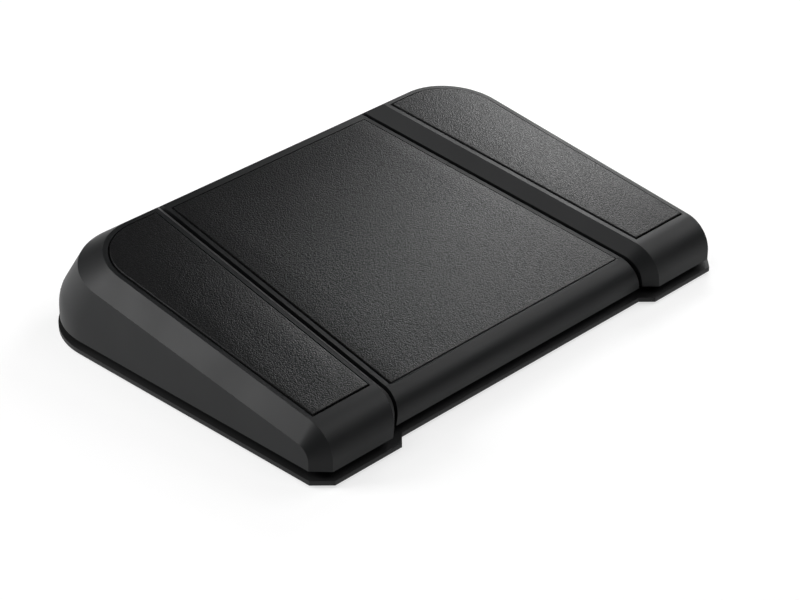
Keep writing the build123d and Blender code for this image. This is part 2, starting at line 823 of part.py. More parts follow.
def build_everything():
    """All nodes by name."""
    right = build_outer_pedal()
    right_pad = top_plate(outer_pad_outline(0), outer_crown, -pad_recess, pad_proud)
    nodes = {
        "base_plate": build_base_plate(),
        "base_tray": build_tray(),
        "rubber_feet": [post(x, d, 0, foot_stand, foot_radius) for x, d in foot_places],
        "tray_screws": [sunk_screw(x, d) for x, d in plate_screw_places],
        "pedal_shell_right": right,
        "pedal_shell_left": mirror(right, about=Plane.YZ),
        "pedal_shell_centre": build_centre_pedal(),
        "pedal_pad_right": right_pad,
        "pedal_pad_left": mirror(right_pad, about=Plane.YZ),
        "pedal_pad_centre": top_plate(centre_pad_outline(0), centre_crown, -pad_recess, pad_proud),
        "main_board": build_board(),
        "controller_chip": block((-chip_side / 2, chip_side / 2),
                                 (chip_from_front - chip_side / 2, chip_from_front + chip_side / 2),
                                 (board_top, board_top + chip_tall)),
        "board_parts": build_board_parts(),
        "board_screws": [screw(x, d, board_top, floor_top + seat_gap, board_screw_radius,
                               board_head_radius, board_head_tall) for x, d in board_screw_places],
    }
    nodes["usb_surround"], nodes["usb_socket"], nodes["usb_tongue"] = build_port()
    bracket_screws = []
    stops = []
    for name, middle in pedal_middles.items():
        nodes["hinge_bracket_" + name] = build_bracket(name)
        nodes["hinge_pin_" + name] = build_pin(name)
        nodes["pin_clips_" + name] = build_clips(name)
        nodes["hinge_bushes_" + name] = build_bushes(name)
        nodes["return_spring_" + name] = build_spring(middle)
        nodes["switch_body_" + name] = build_switch(middle)
        nodes["switch_plunger_" + name] = build_plunger(middle)
        for x, d in bracket_screw_places(name):
            bracket_screws.append(screw(x, d, floor_top + bracket_thick, plate_low, screw_radius,
                                        head_radius, head_tall))
        stops.append(post(middle, stop_from_front, floor_top, floor_top + stop_tall, stop_radius))
    nodes["bracket_screws"] = bracket_screws
    nodes["stop_pads"] = stops
    return nodes


os.makedirs("parts", exist_ok=True)
for node, shape in build_everything().items():
    solids = [s for piece in (shape if isinstance(shape, list) else [shape]) for s in piece.solids()]
    export_step(Compound(children=solids) if len(solids) > 1 else solids[0], "parts/" + node + ".step")
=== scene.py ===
"""Foot switch with three pedals: its housings, pads and finishes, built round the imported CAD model.

The file is laid out as an add-on. Run as a script, it builds every piece in the CAD model's own frame,
in metres: X runs across the pedals, Y from the user to the back, Z up. In the shape functions d is the
distance from the front edge of the base plate, which is Y plus half of the depth.
"""
import json
import math

import bmesh
import bpy
import numpy as np
from bpy.types import Operator, Panel, PropertyGroup
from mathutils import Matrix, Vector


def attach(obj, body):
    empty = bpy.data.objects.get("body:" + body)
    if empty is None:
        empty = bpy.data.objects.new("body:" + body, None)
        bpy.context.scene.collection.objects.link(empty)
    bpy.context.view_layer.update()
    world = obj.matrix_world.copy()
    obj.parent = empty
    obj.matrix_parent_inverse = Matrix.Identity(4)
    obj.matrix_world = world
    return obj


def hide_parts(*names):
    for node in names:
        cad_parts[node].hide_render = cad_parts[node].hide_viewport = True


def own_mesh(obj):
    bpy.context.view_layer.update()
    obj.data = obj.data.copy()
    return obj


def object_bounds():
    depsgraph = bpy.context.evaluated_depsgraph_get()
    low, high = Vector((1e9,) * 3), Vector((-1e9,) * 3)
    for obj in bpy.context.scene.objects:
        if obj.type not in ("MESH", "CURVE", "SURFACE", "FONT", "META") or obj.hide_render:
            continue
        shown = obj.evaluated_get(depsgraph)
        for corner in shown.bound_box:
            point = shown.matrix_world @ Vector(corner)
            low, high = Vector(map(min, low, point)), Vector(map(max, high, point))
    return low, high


bl_info = {
    "name": "Foot switch pedals",
    "version": (1, 0, 0),
    "blender": (4, 5, 0),
    "location": "3D View > Sidebar > Foot switch",
    "description": "Builds the housings, pads, finishes and studio of a foot switch with three pedals",
    "category": "Add Mesh",
}

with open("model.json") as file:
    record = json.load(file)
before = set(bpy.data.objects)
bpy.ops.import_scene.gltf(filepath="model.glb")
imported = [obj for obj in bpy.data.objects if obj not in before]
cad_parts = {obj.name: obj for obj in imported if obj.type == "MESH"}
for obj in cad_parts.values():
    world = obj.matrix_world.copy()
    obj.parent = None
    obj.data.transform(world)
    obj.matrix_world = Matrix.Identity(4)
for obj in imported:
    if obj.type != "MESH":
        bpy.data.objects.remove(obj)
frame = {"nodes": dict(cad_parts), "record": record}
cad_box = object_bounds()

PREFIX = "foot_switch_"
MM = 0.001
WIDTH = cad_box[1][0] - cad_box[0][0]
DEPTH = cad_box[1][1] - cad_box[0][1]

# Slopes and splays of the housings, as shares of the distance from the front or of the height
TOP_SLOPE = 0.1475
SLOPE_ANGLE = math.atan(TOP_SLOPE)
SEAM_SPLAY = 0.0504
SEAM_LEAN = 0.2
RIDGE_SPLAY = 0.0597
RIDGE_LEAN = 0.118
OUTER_RIDGE_SPLAY = 0.0145
WALL_LEAN = 0.02
BAND_SLOPE = 0.0532
MITRE = 0.42

# How much deeper a moulding's root lies under the steeper chamfer, as a factor
CHAMFER_ROOT = 1.4

# Points closer together than this become one, and faces that meet at less than this angle
MERGE = 2e-6
FLAT = math.radians(0.5)

# Least angles, in degrees, of the edges that are rounded and of those that stay sharp
HOUSING_EDGE = 25
PLATE_EDGE = 30
MOULDING_EDGE = 35
PAD_EDGE = 50
WIRE_EDGE = 60

# Steps of the surfaces
NOSE_STEPS = 18
NOSE_COLUMNS = 9
SIDE_STEPS = 8
TURN_STEPS = 22
BACK_STEPS = 5
ROUND_STEPS = 6
HALF_COLUMNS = 6
CIRCLE_STEPS = 48
WIRE_STEPS = 12
BEVEL_STEPS = 3
PAD_EDGE_STEPS = 5
LUG_STEPS = 9
HALVES = (slice(HALF_COLUMNS), slice(HALF_COLUMNS, None))

# Lamps of the studio: where each stands, and how wide and tall it is, in metres
LAMPS = {
    "low": ((0.57, 0.24, 0.24), (0.30, 0.20)),
    "near": ((0.32, 0.12, 0.23), (0.16, 0.14)),
    "nose": ((0.45, -0.21, 0.46), (0.40, 0.30)),
    "corner": ((-0.80, 0.75, 0.55), (0.60, 0.50)),
    "side": ((-0.62, 0.12, 1.12), (0.70, 0.60)),
    "front": ((0.15, -1.0, 1.0), (0.70, 0.50)),
}

# Sockets of a node that maps one range onto another
RANGE = ("From Min", "From Max", "To Min", "To Max")


def number(name, description, default, **more):
    """A number that a user may change; more gives its unit, its subtype and its limits."""
    more.setdefault("min", 0.0)
    return bpy.props.FloatProperty(name=name, description=description, default=default, **more)


def length(name, description, default):
    """A length, given in millimetres."""
    return number(name, description, default * MM, unit="LENGTH")


def power(name, description, default):
    """The power of a lamp, in watts."""
    return number(name, description, default, unit="POWER")


def colour(name, description, default):
    """A colour, as an sRGB hex value."""
    return bpy.props.StringProperty(name=name, description=description, default=default)


class HousingSizes(PropertyGroup):
    """Sizes of the three pedal housings."""
    plate_top: length("Plate top", "Height of the base plate's upper face", 3.2)
    skirt_gap: length("Skirt gap", "Gap between the base plate and the housings", 3.5)
    side_inset: length("Side inset", "From the plate's side to the outer walls", 0.8)
    front_inset: length("Front inset", "From the plate's front to the outer noses", 1.2)
    back_inset: length("Back inset", "From the plate's back edge to the back wall", 0.7)
    outer_crown: length("Outer crown", "Height of the outer tops, carried on to the front edge", 22.6)
    centre_step: length("Centre step", "How much lower and further back the centre pedal is", 5.1)
    seam_half: length("Seam half", "Half width of the centre pedal at its front", 71.6)
    seam_gap: length("Seam gap", "Gap between two pedals", 2)
    ridge_half: length("Ridge half", "From the middle to an outer pedal's inner ridge", 78.6)
    outer_ridge: length("Outer ridge", "From the middle to an outer pedal's outer ridge", 112.9)
    chamfer_drop: length("Chamfer drop", "Height of the outer chamfer", 8)
    wall_corner: length("Wall corner", "Radius of the back corner at the bottom", 36.3)
    chamfer_corner: length("Chamfer corner", "Radius of the back corner under the chamfer", 30.3)
    top_corner: length("Top corner", "Radius of the back corner at the top", 27.2)
    back_ridge: length("Back ridge", "From the front edge to the back ridge", 151.75)
    back_run: length("Back chamfer run", "Depth of the chamfer at the back", 9.25)
    back_drop: length("Back chamfer drop", "Height of the chamfer at the back", 6.7)
    outer_nose: length("Outer nose", "Radius of the outer pedals' noses", 13.8)
    centre_nose: length("Centre nose", "Radius of the centre pedal's nose", 10.5)
    inner_facet_nose: length("Inner facet nose", "Radius of an outer nose's facet at its inner end", 9.2)
    outer_facet_nose: length("Outer facet nose", "Radius of that facet at its outer end", 6.5)
    outer_facet_run: length("Outer facet run", "How far its outer end stands back", 7)
    nose_zone: length("Nose zone", "From the front to where the noses end", 45)
    wall: length("Wall", "Thickness of the moulded walls", 2.6)
    edge_round: length("Edge round", "Radius of the moulded edges", 0.3)
    plate_round: length("Plate round", "Radius of the coated plate's edges", 0.21)
    band_round: number("Band round", "Share of the back wall that rounds over into its band", 0.18,
                       max=0.5, subtype="FACTOR")


class PadSizes(PropertyGroup):
    """Sizes of the textured pads and of the recesses that they lie in."""
    rim: length("Rim", "Width of the housing that shows round a pad", 2.9)
    front: length("Pad front", "From the plate's front edge to the pads", 15)
    gap: length("Pad gap", "Width of the groove round a pad", 0.8)
    proud: length("Pad proud", "How far a pad stands over its housing", 0.5)
    recess: length("Recess", "Depth of the recess that a pad lies in", 1.7)
    edge_round: length("Pad edge", "Radius of a pad's upper edge", 0.25)


class MouldingSizes(PropertyGroup):
    """Sizes of what is moulded under the pedals."""
    rib: length("Rib", "Thickness of a rib", 1.6)
    rib_deep: length("Rib depth", "How far the ribs reach down under the top", 6)
    root: length("Root", "Depth of a moulding's root in the wall", 2.2)
    outer_spacing: length("Outer lug spacing", "Between the two lugs of an outer pedal", 20)
    centre_spacing: length("Centre lug spacing", "Between the two lugs of the centre pedal", 84)
    rib_behind: length("Cross rib", "From a boss to the cross rib behind it", 15)
    lug: length("Lug", "Thickness of a hinge lug", 6)
    lug_radius: length("Lug radius", "Radius of a hinge lug", 5.5)
    bore: length("Lug bore", "Radius of the bore for a bush", 3.05)
    hinge_at: length("Hinge place", "From the front to the hinge line", 150)
    hinge_high: length("Hinge height", "Height of the hinge line", 15)
    stop: length("Stop", "Radius of the stop's boss", 4)
    stop_at: length("Stop place", "From the front to the stop's boss", 42)
    stop_low: length("Stop height", "Height of the boss's lower end", 10.52)
    spring_boss: length("Spring boss", "Radius of the boss over the spring", 7.5)
    spring_at: length("Spring place", "From the front to the spring's boss", 63)
    spring_high: length("Spring height", "Height of the face that the spring presses on", 20)
    spring_pin: length("Spring pin", "Radius of the pin that holds the spring's upper end", 3.4)
    spring_pin_deep: length("Spring pin depth", "How far that pin reaches into the spring", 3.5)
    actuator: length("Actuator", "Radius of the switch's actuator", 3)
    actuator_at: length("Actuator place", "From the front to the actuator", 111)
    actuator_low: length("Actuator height", "Height of the actuator's lower end", 17.45)
    hook: length("Hook", "Thickness of a hook that holds a pedal down", 2.4)
    hook_wide: length("Hook width", "Width of a hook", 8)
    hook_at: length("Hook place", "From the front to the hook", 31)
    hook_low: length("Hook height", "Height of the hook's lower end", 6.2)
    catch: length("Catch", "How far a hook's catch stands forward", 1.8)
    catch_high: length("Catch height", "How thick a hook's catch is", 1.6)
    skirt_high: length("Seam skirt", "Height of the hidden walls' lower edge beside the seams", 12.5)
    skirt_from: length("Seam skirt start", "From the front to where they turn shorter", 18.5)
    notch_half: length("Notch half", "Half width of the notch for the inlet", 10.4)
    notch_high: length("Notch height", "Height of the notch for the inlet", 18.6)


class SpringSizes(PropertyGroup):
    """Sizes of the return springs."""
    wire: length("Wire", "Thickness of the spring wire", 1.2)
    coil: length("Coil radius", "From the spring's axis to the wire's middle", 5)
    low: length("Spring foot", "Height of the tray's floor, on which the springs stand", 5.2)
    turns: number("Turns", "Turns of the wire, closed ends included", 5.5, min=2.0)
    pressed: number("Pressed", "Share of a spring's length that is left under a pressed pedal", 0.882,
                    max=1.0, subtype="FACTOR")


class FinishColours(PropertyGroup):
    """Colours of the finishes, as sRGB hex values."""
    housing: colour("Housing", "Black ABS of the pedal housings", "#121314")
    pad: colour("Pad", "Black rubber of the pads", "#0a0a0b")
    plate: colour("Plate", "Powder coat of the base plate", "#0b0b0c")
    tray: colour("Tray", "Black ABS of the tray and the inlet's surround", "#080809")
    rubber: colour("Rubber", "Rubber of the feet and stops", "#151516")
    zinc: colour("Zinc", "Zinc plating of screws and brackets", "#b9bcc0")
    steel: colour("Steel", "Ground steel of pins, springs and clips", "#c6c7c9")
    bronze: colour("Bronze", "Sintered bronze of the bushes", "#b58a4c")
    board: colour("Board", "Solder resist of the circuit board", "#0e5a2e")
    chip: colour("Chip", "Epoxy of the controller chip", "#1b1c1e")
    ceramic: colour("Ceramic", "Bodies of the small parts on the board", "#8d7355")
    switch: colour("Switch", "Nylon of the switch bodies", "#1a1b1e")
    plunger: colour("Plunger", "Acetal of the switch plungers", "#e4e0d4")


class StudioSettings(PropertyGroup):
    """The camera, the lamps and the floor."""
    lens: number("Lens", "Focal length in millimetres", 120.86, min=1.0)
    tilt: number("Tilt", "Angle of the camera from straight down", math.radians(59.189), subtype="ANGLE")
    turn: number("Turn", "Angle of the camera round the object", math.radians(-45.735), subtype="ANGLE",
                 min=-math.pi)
    place: bpy.props.FloatVectorProperty(
        name="Place", description="Where the camera stands", default=(-0.6967, -0.69281, 0.5835),
        unit="LENGTH")
    low_power: power("Low lamp", "Lamp low on the right, which grazes the pads", 0.3)
    near_power: power("Near lamp", "Small lamp on the right, which falls off across the pads", 0.70)
    nose_power: power("Nose lamp", "Lamp on the right in front, which shows in the noses", 1.6)
    corner_power: power("Corner lamp", "Lamp behind on the left, which shows in the chamfer", 12.0)
    side_power: power("Side lamp", "Lamp high on the left, for the left flanks", 3.6)
    front_power: power("Front lamp", "Lamp high in front, for the even level of all faces", 4.0)
    world: number("World", "Strength of the even light from all round", 0.03)
    floor: colour("Floor", "Pale board of the floor", "#a8a8a8")
    floor_half: length("Floor half", "Half width of the floor", 30000)
    glow: number("Glow", "Strength of the floor's own light round the object", 0.645)
    far_glow: number("Far glow", "Strength of that light where no lamp reaches the floor", 1.0)
    glow_from: length("Glow start", "From the object to where the glow starts to rise", 400)
    glow_to: length("Glow end", "From the object to where the glow is full", 1600)


def settings(*names):
    """The scene's groups of settings, by name."""
    return [getattr(bpy.context.scene, PREFIX + name) for name in names]


# Shapes

def placed(name, data):
    """Puts a mesh, a lamp or a camera into the scene as an object."""
    added = bpy.data.objects.new(name, data)
    bpy.context.scene.collection.objects.link(added)
    return added


def smooth_piece(name, mesh, change):
    """Lets a function change a mesh, shades it smooth and makes a piece of it."""
    work = bmesh.new()
    work.from_mesh(mesh)
    change(work)
    work.to_mesh(mesh)
    work.free()
    mesh.polygons.foreach_set("use_smooth", [True] * len(mesh.polygons))
    return placed(name, mesh)


class Surface:
    """Collects sheets and flat faces, and makes one closed mesh of them."""

    def __init__(self):
        self.points = []
        self.faces = []
        self.count = 0

    def add(self, points):
        """Keeps an array of points and returns their numbers."""
        points = np.asarray(points, float).reshape(-1, 3)
        numbers = np.arange(len(points)) + self.count
        self.points.append(points)
        self.count += len(points)
        return numbers

    def sheet(self, grid, around=False):
        """Adds a grid of points with faces between neighbours; around joins each row's ends."""
        grid = np.asarray(grid, float)
        rows, columns = grid.shape[:2]
        numbers = self.add(grid).reshape(rows, columns)
        here = numbers if around else numbers[:, :-1]
        there = np.roll(numbers, -1, 1) if around else numbers[:, 1:]
        self.faces += np.stack([here[:-1], there[:-1], there[1:], here[1:]], -1).reshape(-1, 4).tolist()

    def face(self, *loops):
        """Adds one flat face from points or arrays of points, in order."""
        self.faces.append(self.add(np.concatenate([np.reshape(p, (-1, 3)) for p in loops])).tolist())

    def bar(self, first, last):
        """Adds a closed bar between two loops of points."""
        self.sheet([first, last], around=True)
        self.face(first)
        self.face(last)

    def build(self, name, mirror=False):
        """Merges shared points, turns all faces outwards and makes the piece; d becomes Y."""
        points = np.concatenate(self.points)
        points = points * [-1 if mirror else 1, 1, 1] - [0, DEPTH / 2, 0]
        mesh = bpy.data.meshes.new(name)
        mesh.from_pydata(points.tolist(), [], self.faces)

        def close(work):
            bmesh.ops.remove_doubles(work, verts=work.verts, dist=MERGE)
            bmesh.ops.recalc_face_normals(work, faces=work.faces)

        return smooth_piece(name, mesh, close)


def soften(piece, radius, angle):
    """Rounds the sharp edges of a piece by a bevel that leaves flat faces flat."""
    bevel = piece.modifiers.new("edges", "BEVEL")
    bevel.width = radius
    bevel.segments = BEVEL_STEPS
    bevel.limit_method = "ANGLE"
    bevel.angle_limit = math.radians(angle)
    bevel.harden_normals = True
    bevel.use_clamp_overlap = True
    bevel.miter_outer = "MITER_ARC"


def spread(first, last, shares):
    """Points on straight lines between two points or rows of points, at the given shares."""
    shares = np.asarray(shares, float)
    first, last = np.asarray(first, float), np.asarray(last, float)
    shares = shares.reshape(shares.shape + (1,) * first.ndim)
    return first + (last - first) * shares


def top_height(d, crown):
    """Height of a pedal's flat top, which rises from the crown at the front."""
    return crown + TOP_SLOPE * d


def join(*parts, axis=0):
    """One array of the rows of several."""
    return np.concatenate(parts, axis)


def line(x_of, d, z):
    """Points on the surface that x_of gives, for arrays of distance and height."""
    d, z = np.broadcast_arrays(np.asarray(d, float), np.asarray(z, float))
    return np.stack([x_of(d, z), d, z], -1)


def nose_line(x_of, front, crown, radius, low, shares, end):
    """Side outline of a nose: an upright, a quarter turn less the top's slope about a centre one radius
    behind the front, and a straight run up the slope from the last point but one."""
    start = top_height(front, crown) - radius * math.tan(math.pi / 4 - SLOPE_ANGLE / 2)
    angle = np.linspace(math.pi, math.pi / 2 + SLOPE_ANGLE, NOSE_STEPS)[1:]
    d = join(np.full(len(shares), front), front + radius + radius * np.cos(angle), [end])
    upright, turn = low + shares * (start - low), start + radius * np.sin(angle)
    return line(x_of, d, join(upright, turn, [top_height(end, crown)]))


def level_line(x_of, height_of, back, corner, end_of, start):
    """One level of an outer housing behind its nose: straight along the side, a quarter circle round the
    back corner and straight along the back to the seam, at the height that each distance gives."""
    turn = back - corner
    side = x_of(turn, height_of(turn))
    along = np.linspace(start, turn, SIDE_STEPS)
    run = line(x_of, along, height_of(along))
    angle = np.linspace(0, math.pi / 2, TURN_STEPS)[1:]
    d = turn + corner * np.sin(angle)
    bend = np.stack([side - corner + corner * np.cos(angle), d, height_of(d)], -1)
    end = np.array([end_of(back, height_of(back)), back, height_of(back)])
    straight = spread(bend[-1], end, np.linspace(0, 1, BACK_STEPS)[1:])
    return join(run, bend, straight)


def rounded(above, corner, below):
    """Levels on the curve that leaves one level, heads for the corner and ends on the level below."""
    t = np.linspace(0, 1, ROUND_STEPS).reshape(-1, 1, 1)
    return (1 - t) ** 2 * above + 2 * t * (1 - t) * corner + t ** 2 * below


class Outer:
    """Outer housing on the right at one inset from its outside, as named lines and levels."""

    def __init__(self, h, inset):
        mitre = inset * MITRE
        low = h.plate_top + h.skirt_gap
        crown = h.outer_crown - inset
        shoulder = crown - h.centre_step + mitre
        chamfer = crown - h.chamfer_drop + mitre
        centre_crown = h.outer_crown - h.centre_step
        back = DEPTH - h.back_inset - inset
        wall_back = h.back_ridge + h.back_run - inset

        def seam(d, z):
            return h.seam_half - SEAM_SPLAY * d - SEAM_LEAN * (z - centre_crown) + h.seam_gap + inset

        def inner(d, z):
            return h.ridge_half - RIDGE_SPLAY * d - RIDGE_LEAN * (z - h.outer_crown) + mitre

        def outer(d, z):
            return h.outer_ridge - OUTER_RIDGE_SPLAY * d - mitre + 0 * z

        def wall(d, z):
            return WIDTH / 2 - h.side_inset - WALL_LEAN * (z - low) - inset + 0 * d

        def band(d):
            return low + BAND_SLOPE * d

        def under(d):
            return top_height(d, chamfer)

        def level(height_of, d_back, corner, x_of=wall, end_of=seam):
            return level_line(x_of, height_of, d_back, corner, end_of, h.nose_zone)

        self.seam, self.inner, self.outer, self.crown = seam, inner, outer, crown
        ridge = level(lambda d: top_height(d, crown), h.back_ridge - mitre, h.top_corner - mitre,
                      outer, inner)
        foot = level(under, wall_back, h.chamfer_corner - inset)
        corner = level(band, back, h.wall_corner - inset)
        lower = level(lambda d: band(d) - h.band_round * (under(d) - band(d)), back, h.wall_corner - inset)
        bottom = level(lambda d: low + 0 * d, back, h.wall_corner - inset)
        upper = corner + h.band_round * (foot - corner)
        self.walls = join([foot], rounded(upper, corner, lower), [bottom])

        # The seam's shoulder meets the back chamfer at this share of the way down the chamfer
        high = top_height(ridge[-1][1], shoulder)
        rise = TOP_SLOPE * (foot[-1][1] - ridge[-1][1])
        share = (ridge[-1][2] - high) / (ridge[-1][2] - foot[-1][2] + rise)
        middle = ridge + share * (foot - ridge)
        end = middle[-1].copy()
        end[0] = seam(end[1], end[2])
        middle[-BACK_STEPS:] = spread(middle[-BACK_STEPS], end, np.linspace(0, 1, BACK_STEPS))
        self.chamfers = np.stack([ridge, middle, foot])

        heights = self.walls[::-1, 0, 2]
        shares = (heights - low) / (heights[-1] - low)

        def nose(x_of, front, top, radius):
            return nose_line(x_of, front, top, radius - inset, low, shares, h.nose_zone)

        step_front = h.front_inset + h.centre_step + mitre
        facet_front = h.front_inset + h.outer_facet_run + mitre
        front = h.front_inset + inset
        self.seam_nose = nose(seam, step_front, shoulder, h.inner_facet_nose)
        self.inner_nose = nose(inner, front, crown, h.outer_nose)
        outer_nose = nose(outer, front, crown, h.outer_nose)
        wall_nose = nose(wall, facet_front, chamfer, h.outer_facet_nose)
        d, high = wall_nose[len(shares) - 1:, 1:, None].swapaxes(0, 1)
        self.wall_front = line(wall, d, low + shares * (high - low))
        self.facet = np.stack([outer_nose, spread(outer_nose, wall_nose, share), wall_nose])
        self.nose = spread(self.inner_nose, outer_nose, np.linspace(0, 1, NOSE_COLUMNS))
        self.side = join(self.seam_nose, [end], self.walls[:, -1])
        self.top = join(self.inner_nose[-2:], ridge[::-1], self.nose[:0:-1, -2])
        self.foot = join([self.seam_nose[0]], self.nose[:, 0], self.facet[1:, 0],
                         self.wall_front[1:, 0], bottom[1:])

    def draw(self, surface):
        """Adds the outside faces of the housing, all but its top and its seam wall."""
        surface.sheet([self.seam_nose, self.inner_nose])
        surface.face(self.seam_nose[-1], self.inner_nose[-1], self.chamfers[0, -1],
                     self.side[len(self.seam_nose)])
        for sheet in (self.nose[:, :-1], self.facet, self.wall_front, self.chamfers, self.walls):
            surface.sheet(sheet)


def pad_loop(h, p, skin, offset):
    """Outline of an outer pad, point by point beside its housing's top and moved in by an offset."""
    inset, start = p.rim + offset, p.front + offset

    def inner(d, z):
        return skin.inner(d, z) + inset

    def outer(d, z):
        return skin.outer(d, z) - inset

    def height(d):
        return top_height(d, skin.crown)

    d = np.array([start, h.nose_zone])
    run = line(inner, d, height(d))
    front = spread(line(outer, start, height(start)), run[0], np.linspace(0, 1, NOSE_COLUMNS)[:-1])
    back = level_line(outer, height, h.back_ridge - inset, h.top_corner - inset, inner, h.nose_zone)
    return join(run, back[::-1], front)


def lift(points, height):
    """Moves points off a pedal's sloping top."""
    return points + np.array([0, -math.sin(SLOPE_ANGLE), math.cos(SLOPE_ANGLE)]) * height


def shell(p, out, inside, mouth):
    """Both skins of a housing, with the recess for the pad in the top of the outer one."""
    surface = Surface()
    out.draw(surface)
    inside.draw(surface)
    floor = lift(mouth, -p.recess)
    surface.sheet([out.top, mouth, floor], around=True)
    surface.face(floor)
    surface.face(inside.top)
    return surface


def seam_wall(surface, h, m, out, inside, turn=(1, 1, 1)):
    """Both skins of a wall beside a seam, with a window that shortens its hidden part."""
    low = h.plate_top + h.skirt_gap
    back, high = inside.side[-2, 1:]
    window = [m.skirt_from, m.skirt_from, back, back], [low, m.skirt_high, high, low]
    cut = line(out.seam, *window) * turn
    inner_cut = join(line(inside.seam, *window)[:2], inside.side[-2:]) * turn
    outer_side, inner_side = out.side * turn, inside.side * turn
    surface.face(outer_side, cut[::-1])
    surface.face(inner_side[:-1], inner_cut[1::-1])
    surface.sheet([cut, inner_cut])
    surface.face(outer_side[0], cut[0], inner_cut[0], inner_side[0])
    surface.face(outer_side[-1], inner_side[-1], cut[-1])


def outer_housing(h, p, m):
    """Shell of an outer pedal: skins at two insets, joined by the lip at the bottom."""
    out, inside = Outer(h, 0.0), Outer(h, h.wall)
    surface = shell(p, out, inside, pad_loop(h, p, out, -p.gap))
    surface.sheet([out.foot, inside.foot])
    seam_wall(surface, h, m, out, inside)
    return surface


class Centre:
    """Centre housing at one inset from its outside: a side outline and the width between the seams."""

    def __init__(self, h, m, inset):
        low = h.plate_top + h.skirt_gap
        middle_crown = h.outer_crown - h.centre_step
        crown = middle_crown - inset
        back = DEPTH - h.back_inset - inset
        ridge = top_height(h.back_ridge, h.outer_crown) - inset
        fall = h.back_drop / h.back_run
        meet = (ridge - crown + fall * h.back_ridge) / (TOP_SLOPE + fall)
        foot = np.array([h.back_ridge + h.back_run - inset, ridge - h.back_drop])
        corner = np.array([back, low + BAND_SLOPE * DEPTH])
        upper = corner + h.band_round * (foot - corner)
        lower = corner - [0, h.band_round * (foot - corner)[1]]
        turn = rounded(upper, corner, lower)[:, 0]
        rear = join([foot], turn, [[back, low]])
        notch = [np.interp(m.notch_high, rear[::-1, 1], rear[::-1, 0]), m.notch_high]
        above = rear[rear[:, 1] > m.notch_high]
        below = rear[rear[:, 1] < m.notch_high]

        def seam(d, z):
            return h.seam_half - SEAM_SPLAY * d - SEAM_LEAN * (z - middle_crown) - inset

        def across(side_view):
            """Rows of points across the pedal, closer together in the middle, where the notch is."""
            edge = seam(side_view[:, 0], side_view[:, 1])[:, None]
            shares = np.linspace(0, 1, HALF_COLUMNS)
            right = m.notch_half + (edge - m.notch_half) * shares
            x = join(-right[:, ::-1], right, axis=1)
            flat = np.broadcast_to(side_view[:, None], x.shape + (2,))
            return join(x[..., None], flat, axis=-1)

        front = h.front_inset + h.centre_step + inset
        shares = np.array([0.0, 0.5, 1.0])
        nose = nose_line(seam, front, crown, h.centre_nose - inset, low, shares, h.nose_zone)[:-1, 1:]
        end = [[meet, top_height(meet, crown)]]
        self.seam, self.crown = seam, crown
        self.nose = across(nose)
        self.chamfer = across(join(end, [foot]))
        self.wall = across(join(above, [notch]))
        self.feet = across(join([notch], below))
        self.top = join(self.nose[-1], self.chamfer[0, ::-1])
        side = join(nose, end, above, [notch], below)
        self.side = line(seam, side[:, 0], side[:, 1])

    def draw(self, surface):
        """Adds the outside faces, all but the top and the two seam walls."""
        for sheet in (self.nose, self.chamfer, self.wall, *(self.feet[:, half] for half in HALVES)):
            surface.sheet(sheet)


def centre_loop(h, p, skin, offset):
    """Outline of the centre pad, point by point beside its housing's top and moved in by an offset."""
    inset = p.rim + offset
    start, back = p.front + offset, h.back_ridge + p.rim / 2 - offset
    shares = skin.nose[-1, :, 0] / skin.nose[-1, -1, 0]
    rows = []
    for d in (start, back):
        z = top_height(d, skin.crown)
        rows.append(np.stack([shares * (skin.seam(d, z) - inset), 0 * shares + d, 0 * shares + z], -1))
    return join(rows[0], rows[1][::-1])


def centre_housing(h, p, m):
    """Shell of the centre pedal, with its windows beside the seams and its notch for the inlet."""
    out, inside = Centre(h, m, 0.0), Centre(h, m, h.wall)
    surface = shell(p, out, inside, centre_loop(h, p, out, -p.gap))
    surface.sheet([out.nose[0], inside.nose[0]])
    for half in HALVES:
        surface.sheet([out.feet[-1, half], inside.feet[-1, half]])
    for column in (HALF_COLUMNS - 1, HALF_COLUMNS):
        surface.face(out.feet[:, column], inside.feet[::-1, column])
    lintel = slice(HALF_COLUMNS - 1, HALF_COLUMNS + 1)
    surface.face(out.feet[0, lintel], inside.feet[0, lintel][::-1])
    for side in (1, -1):
        seam_wall(surface, h, m, out, inside, [side, 1, 1])
    return surface


def pad_surface(p, loop_of):
    """A pad: its outline at the recess's floor, straight up, and a quarter round in to its flat top."""
    surface = Surface()
    angle = np.linspace(0, math.pi / 2, PAD_EDGE_STEPS)
    insets = join([0], p.edge_round * (1 - np.cos(angle)))
    heights = join([-p.recess], p.proud - p.edge_round + p.edge_round * np.sin(angle))
    loops = [lift(loop_of(offset), height) for offset, height in zip(insets, heights)]
    surface.sheet(loops, around=True)
    surface.face(loops[0])
    surface.face(loops[-1])
    return surface


def boss(surface, middle, d, low, radius, height_of):
    """A round boss: a circle at its lower end, carried straight up to the circle under the top."""
    angle = np.linspace(0, 2 * math.pi, CIRCLE_STEPS, endpoint=False)
    x, along = middle + radius * np.cos(angle), d + radius * np.sin(angle)
    surface.bar(np.stack([x, along, 0 * x + low], -1), np.stack([x, along, height_of(along, x)], -1))


def slab(surface, x, d, low_of, high_of):
    """A rib: a rectangle in plan between two heights that follow its corners."""
    x, d = np.array([x[0], x[1], x[1], x[0]]), np.array([d[0], d[0], d[1], d[1]])
    surface.bar(np.stack([x, d, low_of(d, x)], -1), np.stack([x, d, high_of(d, x)], -1))


